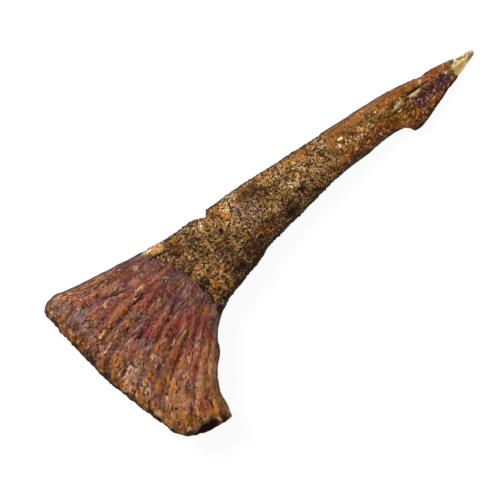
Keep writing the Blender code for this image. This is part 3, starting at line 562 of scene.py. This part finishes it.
def build_grains(zones, points, colours):
    """Sand grains bedded in the crust, all in one mesh."""
    random = np.random.default_rng(GRAIN_SEED)
    index, size = bed_of_grains(zones, points, random)
    count, size, normals = len(index), size[:, None, None], zones.normals[index]
    shape = bmesh.new()
    bmesh.ops.create_icosphere(shape, subdivisions=1, radius=1.0)
    corners = np.array([v.co for v in shape.verts])
    faces = np.array([[v.index for v in face.verts] for face in shape.faces])
    shape.free()
    spins = np.linalg.qr(random.normal(size=(count, 3, 3)))[0]
    uneven = 1 + 0.25 * random.normal(size=(count, len(corners), 1)).clip(-1.5, 1.5)
    stretch = random.uniform(0.65, 1.35, size=(count, 1, 3))
    rocks = (corners * uneven * stretch) @ spins * size
    rocks -= (rocks @ normals[:, :, None] * 0.3 + 0.2 * size) * normals[:, None]  # flattened and sunk in
    places = (rocks + points[index][:, None]).reshape(-1, 3)
    places[:, 2] = np.maximum(places[:, 2], 0.01)  # kept off the table
    every = (faces + np.arange(count)[:, None, None] * len(corners)).reshape(-1, 3)
    data = bpy.data.meshes.new("sand_grains")
    data.from_pydata(to_part(places).tolist(), [], every.tolist())
    values = {name: colours[name][index] for name in (*STAINS, "wall", "tone")}
    values["hue"] = random.random(count)
    set_floats(data, {name: np.repeat(number, len(corners)) for name, number in values.items()})
    data.update()
    return new_object("sand_grains", data)


# Materials


def screen(red, green, blue):
    """A colour given as 0 to 255 on screen, as the shader's linear numbers."""
    shares = (red / 255, green / 255, blue / 255)
    return tuple(s / 12.92 if s <= 0.04 else ((s + 0.055) / 1.055) ** 2.4 for s in shares)


class Value:
    """A node's output in Python arithmetic: each operator adds a Math node."""

    def __init__(self, finish, socket):
        self.finish, self.socket = finish, socket

    def _math(self, operation, first, second):
        return self.finish.node("ShaderNodeMath", {"operation": operation}, Value=first, Value_001=second)

    def __add__(self, other):
        return self._math("ADD", self, other)

    def __radd__(self, other):
        return self._math("ADD", other, self)

    def __sub__(self, other):
        return self._math("SUBTRACT", self, other)

    def __rsub__(self, other):
        return self._math("SUBTRACT", other, self)

    def __mul__(self, other):
        return self._math("MULTIPLY", self, other)

    def __rmul__(self, other):
        return self._math("MULTIPLY", other, self)

    def clamped(self, low, high):
        """Runs smoothly from 0 at low to 1 at high. low may be the larger."""
        smooth, ends = {"interpolation_type": "SMOOTHSTEP"}, {"From Min": low, "From Max": high}
        return self.finish.node("ShaderNodeMapRange", smooth, Value=self, **ends)


class Finish:
    """A procedural material on one Principled shader."""

    def __init__(self, name, **constants):
        self.material = bpy.data.materials.new(name)
        self.material.use_nodes = True
        self.tree = self.material.node_tree
        self.shader = self.tree.nodes["Principled BSDF"]
        self.connect(**constants)

    def connect(self, **inputs):
        """Gives values or links to the shader's inputs."""
        for key, value in inputs.items():
            self.feed(self.shader.inputs[key.replace("_", " ")], value)

    def node(self, kind, settings=None, output=0, **inputs):
        """Adds a node: its settings first, then the values or links of its inputs by identifier."""
        made = self.tree.nodes.new(kind)
        for key, value in (settings or {}).items():
            if key == "stops":
                for stop, (place, colour) in zip(self._stops(made, len(value)), value):
                    stop.position, stop.color = place, (*screen(*colour), 1)
            else:
                setattr(made, key, value)
        sockets = {socket.identifier: socket for socket in made.inputs}
        for key, value in inputs.items():
            self.feed(sockets[key], value)
        return Value(self, made.outputs[output])

    def _stops(self, ramp, count):
        """The ramp's stops, made up to this many."""
        while len(ramp.color_ramp.elements) < count:
            ramp.color_ramp.elements.new(1.0)
        return ramp.color_ramp.elements

    def feed(self, socket, value):
        """Links a node's output to the socket, or sets the socket to a constant."""
        if isinstance(value, Value):
            self.tree.links.new(value.socket, socket)
        else:
            socket.default_value = value

    def attribute(self, name):
        """One of the mesh's own values at each point."""
        return self.node("ShaderNodeAttribute", {"attribute_name": name}, output=2)

    def position(self):
        """Metres in the part's frame."""
        return self.node("ShaderNodeTexCoord", output=3)

    def height(self):
        """Millimetres up from the table."""
        return self.node("ShaderNodeSeparateXYZ", output=2, Vector=self.position()) * (1 / MM)

    def vector(self, x, y, z):
        """A place for noise to be read at."""
        return self.node("ShaderNodeCombineXYZ", X=x, Y=y, Z=z)

    def noise(self, size, detail=3.0, place=None, roughness=0.6, distortion=0.0, seed=0.0):
        """Noise, 0 to 1, whose features are about size millimetres, or size units of the place given."""
        scale = 1 / (size * MM) if place is None else 1 / size
        return self.node(
            "ShaderNodeTexNoise", {"noise_dimensions": "4D"}, Vector=place or self.position(), W=seed,
            Scale=scale, Detail=detail, Roughness=roughness, Distortion=distortion,
        )

    def edges(self, size, width, seed, place=None):
        """Masks of a dark and a lit line side by side along the winding edges of patches. As a pair they are
        painted shade and painted highlight that give the edges the look of relief; the dark line alone draws
        a thin dark line.
        """
        level = self.noise(size, 1, place, 0.5, 0.8, seed) - 0.5
        below, above = level + width, level - width
        return (below * below).clamped(width * width, 0.0), (above * above).clamped(width * width, 0.0)

    def bump(self, height, strength, distance, **under):
        """A bumped normal, on another one where it is given. distance is the relief in millimetres."""
        return self.node("ShaderNodeBump", Height=height, Strength=strength, Distance=distance * MM, **under)

    def ramp(self, value, *stops):
        """A colour that changes with the value. A stop is a place and a screen colour."""
        return self.node("ShaderNodeValToRGB", {"stops": stops}, Fac=value)

    def mix(self, first, second, share):
        """The first colour, turned into the second by this share."""
        first, second = (c if isinstance(c, Value) else (*screen(*c), 1) for c in (first, second))
        colours = {"A_Color": first, "B_Color": second}
        return self.node("ShaderNodeMix", {"data_type": "RGBA"}, output=2, Factor_Float=share, **colours)

    def painted(self, colour, *coats):
        """The colour under coats of others, each with the share that it covers."""
        for coat, share in coats:
            colour = self.mix(colour, coat, share)
        return colour


def stained(finish, colour):
    """The colour under the patches that iron, manganese and clay have left."""
    golden = finish.mix((162, 88, 2), (212, 132, 12), finish.noise(1.1, 2, seed=21.0).clamped(0.42, 0.58))
    return finish.painted(
        colour,
        ((86, 42, 62), finish.attribute("violet") * 0.85),
        ((148, 124, 122), finish.attribute("grey") * 0.7),
        ((194, 134, 86), finish.attribute("sandy") * 0.6),
        (golden, finish.attribute("ochre") * 0.85),
        ((144, 28, 30), finish.attribute("red") * 0.75),
        ((84, 40, 16), finish.attribute("umber") * 0.7),
    )


def shaded_and_soiled(finish, colour):
    """The colour darkened on the steep sides and where the dark mask lies: painted shade in crevices, cuts
    and the open base, with some dark earth and stain.
    """
    return finish.painted(
        colour,
        ((30, 18, 12), finish.attribute("wall") * 0.9),
        ((18, 12, 11), finish.attribute("dark") * 0.92),
    )


def root_colour(finish, across, along, flecked, furrow):
    """Porous root: soft drifts of plum, rust and ochre, with fine strokes that follow the ribs, and painted
    shade and light on the ribs and beside the strokes.
    """
    side = finish.height()
    drift = finish.noise(2.2, 2, finish.vector(across, along * 0.5, side), 0.6, 0.8)
    rib = finish.noise(1.4, 1, finish.vector(across, along * 0.1, side), distortion=0.3, seed=10.0)
    rib -= furrow * 0.1
    grain = finish.noise(0.22, 1, finish.vector(across, along * 0.45, side), 0.7, 0.6, 5.0)
    cluster = finish.noise(0.9, 2, finish.vector(across, along * 0.6, side), seed=9.0)
    stroke, fleck = finish.edges(0.55, 0.04, 3.0, finish.vector(across, along * 0.22, side))
    pore, _ = finish.edges(0.9, 0.045, 22.0)
    near_base = finish.attribute("run").clamped(0.3, 0.05)
    calm = 1 - (finish.attribute("violet") + finish.attribute("red") + finish.attribute("ochre")) * 0.3
    drifts = finish.ramp(
        drift, (0.36, (94, 54, 64)), (0.43, (116, 64, 60)), (0.48, (146, 52, 38)),
        (0.53, (120, 70, 40)), (0.58, (154, 92, 12)), (0.65, (134, 102, 84)),
    )
    strokes = cluster.clamped(0.48, 0.6) * 0.8 + 0.15 + near_base * 0.4
    flecks = cluster + flecked * 0.16 + near_base * 0.05
    colour = finish.painted(
        stained(finish, drifts),
        # Painted shade in the furrows and painted light on the crests of the broad ribs.
        ((54, 24, 14), rib.clamped(0.47, 0.38) * 0.5),
        ((170, 100, 76), rib.clamped(0.54, 0.68) * 0.25),
        ((64, 14, 0), grain.clamped(0.5, 0.38) * (cluster.clamped(0.4, 0.58) * 0.6 + 0.35)),
        ((200, 148, 122), grain.clamped(0.51, 0.64) * calm * 0.5),
        # Dark strokes and, below, pale flecks beside them: painted shade and painted highlight that give the
        # fine strokes relief.
        ((40, 8, 0), stroke * strokes.clamped(0.0, 1.0)),
        ((22, 6, 0), pore * near_base * cluster.clamped(0.46, 0.58) * 0.35),
        # Painted highlights beside the strokes, most where glints gather.
        ((238, 184, 144), fleck * calm * flecks.clamped(0.56, 0.68) * 0.95),
    )
    return colour, grain


def crust_colour(finish):
    """Cemented sand: pale winding rims around dark gaps, of the hue of the place. The rims are partly painted
    highlight and the gaps partly painted shade.
    """
    tone = finish.attribute("tone")
    hue = finish.noise(1.6, 2, seed=4.0) * 0.7 + tone * 0.3
    bed = finish.ramp(hue, (0.4, (94, 40, 0)), (0.48, (102, 50, 12)), (0.56, (114, 68, 4)))
    rim = finish.ramp(
        hue, (0.38, (184, 118, 62)), (0.43, (188, 134, 94)), (0.48, (178, 146, 80)),
        (0.54, (228, 176, 108)), (0.59, (208, 152, 110)), (0.64, (254, 222, 160)),
    )
    ground = finish.noise(0.5, 2, roughness=0.7, distortion=1.0, seed=6.0)
    colour = finish.mix((28, 6, 0), stained(finish, bed), (ground + tone * 0.2).clamped(0.46, 0.6))
    # Dark gaps and lit rims side by side: painted shade and painted highlight over the sand's own colours.
    for size, seed, strength in ((0.4, 8.0, 0.6), (0.48, 7.0, 1.0)):
        dark, lit = finish.edges(size, 0.055, seed)
        lit *= (ground + tone * 0.4).clamped(0.55, 0.73)
        colour = finish.painted(colour, ((14, 2, 0), dark * strength), (stained(finish, rim), lit * strength))
    return colour


def enamel_colour(finish, across, along, flecked, mottle):
    """Glassy amber, rusty at the front, olive along the middle and dark at the rear (partly painted shade),
    finely cracked, with painted shade and highlight along the edges of patches and painted glints.
    """
    side = finish.height()
    share = finish.attribute("share")
    # Darkest at the rear edge: partly dark stain and partly painted shade where the edge rounds away from the
    # light.
    amber = finish.ramp(
        share + 0.9 * (mottle - 0.5), (0.05, (154, 82, 4)), (0.25, (164, 98, 4)), (0.48, (118, 88, 8)),
        (0.62, (168, 94, 2)), (0.88, (150, 76, 2)), (0.98, (26, 14, 8)),
    )
    inner = share.clamped(0.05, 0.3)
    stria = finish.noise(0.34, 2, finish.vector(across, along * 0.12, side), 0.6, 0.4)
    patch = finish.noise(0.7, 2, seed=12.0, roughness=0.6, distortion=1.2)
    loop, _ = finish.edges(1.7, 0.024, 19.0)
    streak, _ = finish.edges(0.7, 0.045, 18.0, finish.vector(across, along * 0.16, side))
    colour = finish.painted(
        stained(finish, amber),
        ((48, 18, 0), stria.clamped(0.47, 0.38) * 0.6),
        ((196, 132, 56), stria.clamped(0.56, 0.66) * 0.4),
        ((36, 12, 0), patch.clamped(0.46, 0.35) * (inner * 0.5 + 0.3)),
        ((200, 116, 20), patch.clamped(0.54, 0.7) * (inner * 0.35 + 0.15)),
        ((44, 16, 0), loop * (inner * 0.5 + 0.3)),
        ((56, 20, 0), streak * (0.75 - inner * 0.4)),
    )
    # Dark and lit lines side by side along the edges of patches: painted shade and painted highlight.
    for size, seed, strength in ((0.5, 16.0, 0.6), (0.9, 14.0, 0.9)):
        dark, lit = finish.edges(size, 0.035, seed)
        colour = finish.painted(
            colour,
            ((20, 6, 0), dark * inner * patch.clamped(0.64, 0.46) * strength),
            ((232, 172, 108), lit * inner * patch.clamped(0.48, 0.62) * strength * 0.8),
        )
    # Painted glints: small cream highlights put into the colour.
    glint = finish.noise(0.42, 1, distortion=1.0, seed=13.0) + flecked * 0.1
    return finish.mix(colour, (255, 214, 160), glint.clamped(0.68, 0.71))


def flake_colour(finish, speck):
    """The sandy inside that a broken corner bares."""
    crack, rim = finish.edges(0.5, 0.06, 20.0)
    clay = finish.mix((150, 86, 26), (208, 148, 74), speck.clamped(0.43, 0.58))
    # Pale rims beside dark cracks: painted highlight and painted shade.
    return finish.painted(clay, ((240, 198, 126), rim * 0.5), ((120, 62, 16), crack * 0.6))


def bruised(finish, colour, pitted, mottle, speck):
    """The colour under the purple, pitted patch near the point."""
    # Dark curls with pale glints beside them: painted shade and painted highlight, over the patch's own
    # purple.
    dark, lit = finish.edges(0.52, 0.06, 17.0)
    bruise = finish.mix((152, 62, 22), (80, 36, 54), mottle.clamped(0.47, 0.57))
    return finish.painted(
        colour, (bruise, pitted * 0.75), ((8, 2, 6), pitted * dark),
        ((214, 168, 156), pitted * lit * speck.clamped(0.42, 0.56) * 0.9),
    )


def ivory_colour(finish, mottle):
    """Bare dentine at the point, stained ochre on one side and worn grey at the very end."""
    bare = finish.ramp(mottle, (0.38, (214, 160, 84)), (0.45, (248, 216, 144)), (0.54, (255, 240, 192)))
    return finish.painted(
        bare,
        ((228, 160, 66), finish.attribute("ochre") * 0.9),
        ((104, 78, 34), finish.attribute("umber") * 0.85),
        ((176, 150, 132), finish.attribute("grey") * 0.95),
    )


def fossil_finish():
    """The whole tooth: root, crust, enamel, chipped corner and point, with flakes, painted shade in hollows
    with some dirt, and wear with painted highlights on ridges.
    """
    finish = Finish("fossil_tooth", IOR=1.5, Specular_IOR_Level=0.4, Specular_Tint=GLOSS_TINT)
    mask = finish.attribute
    crust, enamel, ivory = mask("crust"), mask("enamel"), mask("ivory")
    hollow, furrow, flecked = mask("hollow"), mask("furrow"), mask("flecked")
    across, along = mask("share") * ROOT_WIDTH, mask("run") * ROOT_LENGTH
    mottle = finish.noise(1.3, 4, roughness=0.6)
    speck = finish.noise(0.45, 2, roughness=0.7, distortion=1.0)
    dashes = finish.noise(0.12, 0, finish.vector(0.0, along, 0.0)).clamped(0.4, 0.5)
    root, grain = root_colour(finish, across, along, flecked, furrow)
    colour = finish.painted(
        root, (crust_colour(finish), crust), (enamel_colour(finish, across, along, flecked, mottle), enamel),
        (flake_colour(finish, speck), mask("chip")),
    )
    colour = bruised(finish, colour, mask("violet") * enamel, mottle, speck)
    # Painted shade in hollows and furrows, with some dirt.
    hollow_shade_and_dirt = hollow.clamped(0.2, 1.2) * 0.7 + furrow.clamped(0.3, 1.2) * 0.3
    # Painted highlight on ridge tops, most where glints gather, with some wear.
    ridge_wear_and_highlight = (0 - hollow).clamped(0.3, 1.0) * (0.08 + flecked * 0.4)
    broken_edge = ivory * (1 - ivory) * 4
    colour = finish.painted(
        colour,
        # Pale chips and streaks, and a few painted glints near the point.
        ((250, 222, 162), mask("pale") * (0.35 + dashes * 0.65)),
        (ivory_colour(finish, mottle), ivory),
        ((34, 17, 10), hollow_shade_and_dirt.clamped(0.0, 1.0) * (1 - ivory * 0.4)),
        ((70, 42, 22), broken_edge * 0.8),
        ((240, 188, 130), ridge_wear_and_highlight * (1 - ivory) * (1 - crust)),
    )
    # The darkened places, painted shade and earth, are also rougher.
    shaded_and_earthy = (mask("wall") + mask("dark")).clamped(0.0, 1.0)
    roughness = 0.6 - 0.3 * enamel * mottle.clamped(0.4, 0.6) + 0.35 * shaded_and_earthy
    gritty = finish.bump(speck, 0.4, 0.12, Normal=finish.bump(grain, 0.5, 0.12))
    finish.connect(Base_Color=shaded_and_soiled(finish, colour), Roughness=roughness, Normal=gritty)
    return finish.material


def grain_finish():
    """Sand grains of many minerals, rubbed with the stain of the place they lie in, with the crust's painted
    shade and highlights and the painted shade of the sides.
    """
    finish = Finish("sand_grains", IOR=1.5, Specular_IOR_Level=0.2, Specular_Tint=GLOSS_TINT)
    hue = finish.attribute("hue")
    mineral = finish.ramp(
        hue, (0.0, (30, 10, 4)), (0.3, (96, 56, 28)), (0.55, (116, 82, 44)), (0.8, (180, 134, 80)),
        (1.0, (240, 206, 150)),
    )
    colour = finish.mix(crust_colour(finish), mineral, 0.22)
    finish.connect(Base_Color=shaded_and_soiled(finish, colour), Roughness=0.5 + hue * 0.3)
    return finish.material


# Studio


def build_floor():
    """A pale table that glows, so that it stays white around the tooth and the tooth's shadow on it is faint.
    """
    mesh = bmesh.new()
    bmesh.ops.create_grid(mesh, x_segments=1, y_segments=1, size=0.6)
    data = bpy.data.meshes.new("table")
    mesh.to_mesh(data)
    mesh.free()
    finish = Finish(
        "table_white", Base_Color=(0.12, 0.12, 0.12, 1), Roughness=0.9, Specular_IOR_Level=0.0,
        Emission_Color=(1, 1, 1, 1), Emission_Strength=0.925,
    )
    data.materials.append(finish.material)
    floor = new_object("table", data)


def add_light(name, place, size, power):
    """A round soft light, aimed at the middle of the tooth."""
    data = bpy.data.lights.new(name, "AREA")
    data.shape, data.size, data.energy = "DISK", size, power
    light = new_object(name, data)
    light.location = place
    light.rotation_euler = (-Vector(place)).to_track_quat("-Z", "Y").to_euler()


def build_studio():
    """The table, a key light, a broad fill and a dim sky."""
    build_floor()
    add_light("key", (-0.05, 0.38, 0.44), 0.2, 3.0)
    add_light("fill", (0.1, -0.25, 0.6), 0.6, 0.6)
    world = bpy.data.worlds.new("studio")
    world.use_nodes = True
    world.node_tree.nodes["Background"].inputs["Color"].default_value = (1, 1, 1, 1)
    world.node_tree.nodes["Background"].inputs["Strength"].default_value = 0.2
    bpy.context.scene.world = world
    bpy.context.scene.view_settings.view_transform = "Standard"


def build_camera():
    """Looks straight down, turned so that the tooth points up to the right."""
    distance, view_width, tooth_middle, turn = 0.8, 0.06475, 0.003, -44
    data = bpy.data.cameras.new("camera")
    data.sensor_width = 36
    data.lens = data.sensor_width * distance / view_width
    camera = new_object("camera", data)
    camera.location = (-0.00692, 0.00024, distance + tooth_middle)
    camera.rotation_euler = (0, 0, math.radians(turn))
    bpy.context.scene.camera = camera


def main(parts, box):
    """Builds the pieces, which ride on the solid's body, then the camera and the studio."""
    surface, zones, points, colours = build_surface(parts["nodes"][BODY], box)
    surface.data.materials.clear()
    surface.data.materials.append(fossil_finish())
    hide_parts(BODY)
    grains = build_grains(zones, points, colours)
    grains.data.materials.append(grain_finish())
    for piece in (surface, grains):
        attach(piece, "root")
    build_camera()
    build_studio()


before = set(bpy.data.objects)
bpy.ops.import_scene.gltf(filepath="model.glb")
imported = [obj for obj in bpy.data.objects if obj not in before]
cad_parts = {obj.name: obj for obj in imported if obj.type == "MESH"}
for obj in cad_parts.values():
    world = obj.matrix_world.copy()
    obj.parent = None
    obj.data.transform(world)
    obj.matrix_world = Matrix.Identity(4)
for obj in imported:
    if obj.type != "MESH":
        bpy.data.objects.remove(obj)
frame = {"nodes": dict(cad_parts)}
CAD_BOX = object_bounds()
main(frame, CAD_BOX)
